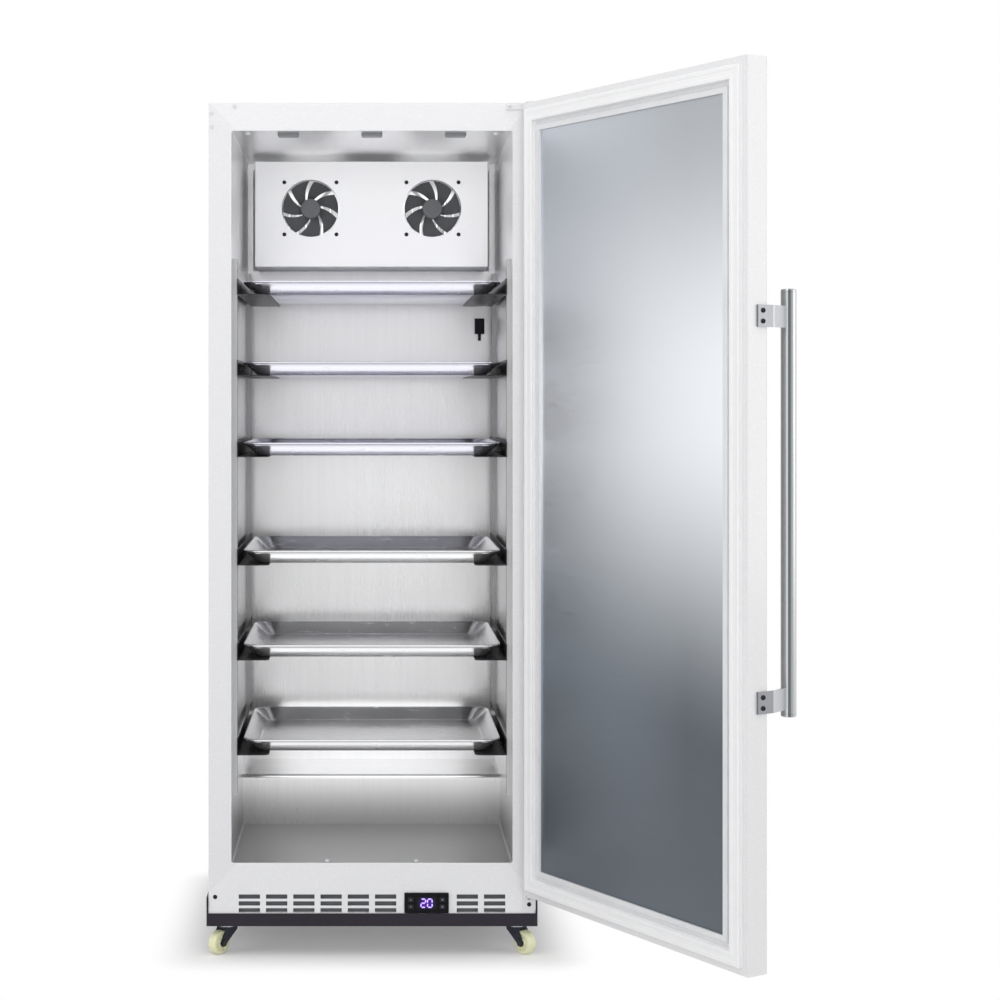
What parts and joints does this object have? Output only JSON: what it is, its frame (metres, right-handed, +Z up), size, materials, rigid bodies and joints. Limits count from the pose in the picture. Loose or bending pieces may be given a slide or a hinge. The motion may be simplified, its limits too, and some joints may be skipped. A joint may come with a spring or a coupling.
{
  "type": "tray refrigerator",
  "caption": "Upright reach-in tray refrigerator on casters, with a swinging insulated door, sliding sheet trays, fans and a digital controller in its kick grille.",
  "frame": {"origin": "on the floor, under the middle of the cabinet", "axes": "+Z up, the door faces -Y, the hinge is at +X"},
  "size_m": [0.9797, 1.0881, 1.567],
  "materials": {
    "black_steel": "satin",
    "zinc_steel": "satin",
    "white_steel": "gloss",
    "stainless": "satin",
    "insulating_foam": "matte",
    "black_plastic": "satin",
    "display_glass": "gloss",
    "button_plastic": "satin",
    "rail_steel": "satin",
    "tray_aluminium": "gloss",
    "fan_grey": "satin",
    "fin_aluminium": "satin",
    "white_plastic": "satin",
    "gasket_rubber": "matte",
    "bush_plastic": "satin",
    "compressor_steel": "satin",
    "handle_steel": "satin",
    "fork_steel": "satin",
    "wheel_nylon": "satin"
  },
  "bodies": {
    "cabinet": {"base_frame": "black_steel", "caster_plates": "zinc_steel", "outer_shell": "white_steel", "face_frame": "white_steel", "back_panel": "zinc_steel", "machine_bulkhead": "zinc_steel", "inner_liner": "stainless", "cabinet_foam": "insulating_foam", "kick_grille": "white_steel", "controller_body": "black_plastic", "controller_window": "display_glass", "shelf_standards": "stainless", "tray_rails_left": "rail_steel", "tray_rails_right": "rail_steel", "fan_cover": "white_steel", "evaporator_coil": "fin_aluminium", "evaporator_drip_tray": "fin_aluminium", "lamp_lenses": "white_plastic", "probe_housing": "black_plastic", "compressor": "compressor_steel", "condenser": "fin_aluminium", "condenser_fan_frame": "black_plastic", "rear_cover": "zinc_steel", "power_inlet": "black_plastic", "hinge_bracket_top": "white_steel", "hinge_bracket_bottom": "white_steel", "plug_caps": "white_plastic", "cabinet_screws": "zinc_steel", "evaporator_fan_frame_left": "black_plastic", "evaporator_fan_frame_right": "black_plastic"},
    "door": {"door_outer_shell": "white_steel", "door_foam": "insulating_foam", "door_inner_frame": "white_plastic", "door_inner_panel": "stainless", "door_gasket": "gasket_rubber", "hinge_bushes": "bush_plastic", "handle_bar": "handle_steel", "handle_brackets": "handle_steel", "handle_screws": "zinc_steel"},
    "tray_1": {"sheet_tray_1": "tray_aluminium"},
    "tray_2": {"sheet_tray_2": "tray_aluminium"},
    "tray_3": {"sheet_tray_3": "tray_aluminium"},
    "tray_4": {"sheet_tray_4": "tray_aluminium"},
    "tray_5": {"sheet_tray_5": "tray_aluminium"},
    "tray_6": {"sheet_tray_6": "tray_aluminium"},
    "evaporator_fan_left": {"evaporator_fan_rotor_left": "fan_grey"},
    "evaporator_fan_right": {"evaporator_fan_rotor_right": "fan_grey"},
    "condenser_fan": {"condenser_fan_rotor": "black_plastic"},
    "button_1": {"controller_button_1": "button_plastic"},
    "button_2": {"controller_button_2": "button_plastic"},
    "button_3": {"controller_button_3": "button_plastic"},
    "button_4": {"controller_button_4": "button_plastic"},
    "caster_front_left": {"caster_fork_front_left": "fork_steel"},
    "wheel_front_left": {"caster_wheel_front_left": "wheel_nylon"},
    "caster_front_right": {"caster_fork_front_right": "fork_steel"},
    "wheel_front_right": {"caster_wheel_front_right": "wheel_nylon"},
    "caster_rear_left": {"caster_fork_rear_left": "fork_steel"},
    "wheel_rear_left": {"caster_wheel_rear_left": "wheel_nylon"},
    "caster_rear_right": {"caster_fork_rear_right": "fork_steel"},
    "wheel_rear_right": {"caster_wheel_rear_right": "wheel_nylon"}
  },
  "joints": [
    {"name": "door_hinge", "type": "hinge", "parent": "cabinet", "child": "door", "pos_m": [0.29, -0.3, 0.8235], "axis": [0, 0, 1], "range_deg": [-121.3, 0]},
    {"name": "tray_1_slide", "type": "slide", "parent": "cabinet", "child": "tray_1", "axis": [0, -1, 0], "range_m": [0, 0.36]},
    {"name": "tray_2_slide", "type": "slide", "parent": "cabinet", "child": "tray_2", "axis": [0, -1, 0], "range_m": [0, 0.36]},
    {"name": "tray_3_slide", "type": "slide", "parent": "cabinet", "child": "tray_3", "axis": [0, -1, 0], "range_m": [0, 0.36]},
    {"name": "tray_4_slide", "type": "slide", "parent": "cabinet", "child": "tray_4", "axis": [0, -1, 0], "range_m": [0, 0.36]},
    {"name": "tray_5_slide", "type": "slide", "parent": "cabinet", "child": "tray_5", "axis": [0, -1, 0], "range_m": [0, 0.36]},
    {"name": "tray_6_slide", "type": "slide", "parent": "cabinet", "child": "tray_6", "axis": [0, -1, 0], "range_m": [0, 0.36]},
    {"name": "evaporator_fan_left_spin", "type": "hinge", "parent": "cabinet", "child": "evaporator_fan_left", "pos_m": [-0.123, 0.0812, 1.4081], "axis": [0, 1, 0], "continuous": true},
    {"name": "evaporator_fan_right_spin", "type": "hinge", "parent": "cabinet", "child": "evaporator_fan_right", "pos_m": [0.123, 0.0812, 1.4081], "axis": [0, 1, 0], "continuous": true},
    {"name": "condenser_fan_spin", "type": "hinge", "parent": "cabinet", "child": "condenser_fan", "pos_m": [-0.148, 0.185, 0.14], "axis": [1, 0, 0], "continuous": true},
    {"name": "button_1_press", "type": "slide", "parent": "cabinet", "child": "button_1", "axis": [0, 1, 0], "range_m": [0, 0.0008], "stiffness_N_per_m": 800},
    {"name": "button_2_press", "type": "slide", "parent": "cabinet", "child": "button_2", "axis": [0, 1, 0], "range_m": [0, 0.0008], "stiffness_N_per_m": 800},
    {"name": "button_3_press", "type": "slide", "parent": "cabinet", "child": "button_3", "axis": [0, 1, 0], "range_m": [0, 0.0008], "stiffness_N_per_m": 800},
    {"name": "button_4_press", "type": "slide", "parent": "cabinet", "child": "button_4", "axis": [0, 1, 0], "range_m": [0, 0.0008], "stiffness_N_per_m": 800},
    {"name": "caster_front_left_swivel", "type": "hinge", "parent": "cabinet", "child": "caster_front_left", "pos_m": [-0.268, -0.24, 0.0475], "axis": [0, 0, 1], "continuous": true},
    {"name": "caster_front_left_roll", "type": "hinge", "parent": "caster_front_left", "child": "wheel_front_left", "pos_m": [-0.2824, -0.2592, 0.0215], "axis": [0.8, -0.6, 0], "continuous": true},
    {"name": "caster_front_right_swivel", "type": "hinge", "parent": "cabinet", "child": "caster_front_right", "pos_m": [0.268, -0.24, 0.0475], "axis": [0, 0, 1], "continuous": true},
    {"name": "caster_front_right_roll", "type": "hinge", "parent": "caster_front_right", "child": "wheel_front_right", "pos_m": [0.2824, -0.2592, 0.0215], "axis": [0.8, 0.6, 0], "continuous": true},
    {"name": "caster_rear_left_swivel", "type": "hinge", "parent": "cabinet", "child": "caster_rear_left", "pos_m": [-0.268, 0.24, 0.0475], "axis": [0, 0, 1], "continuous": true},
    {"name": "caster_rear_left_roll", "type": "hinge", "parent": "caster_rear_left", "child": "wheel_rear_left", "pos_m": [-0.2824, 0.2208, 0.0215], "axis": [0.8, -0.6, 0], "continuous": true},
    {"name": "caster_rear_right_swivel", "type": "hinge", "parent": "cabinet", "child": "caster_rear_right", "pos_m": [0.268, 0.24, 0.0475], "axis": [0, 0, 1], "continuous": true},
    {"name": "caster_rear_right_roll", "type": "hinge", "parent": "caster_rear_right", "child": "wheel_rear_right", "pos_m": [0.2824, 0.2208, 0.0215], "axis": [0.8, 0.6, 0], "continuous": true}
  ]
}
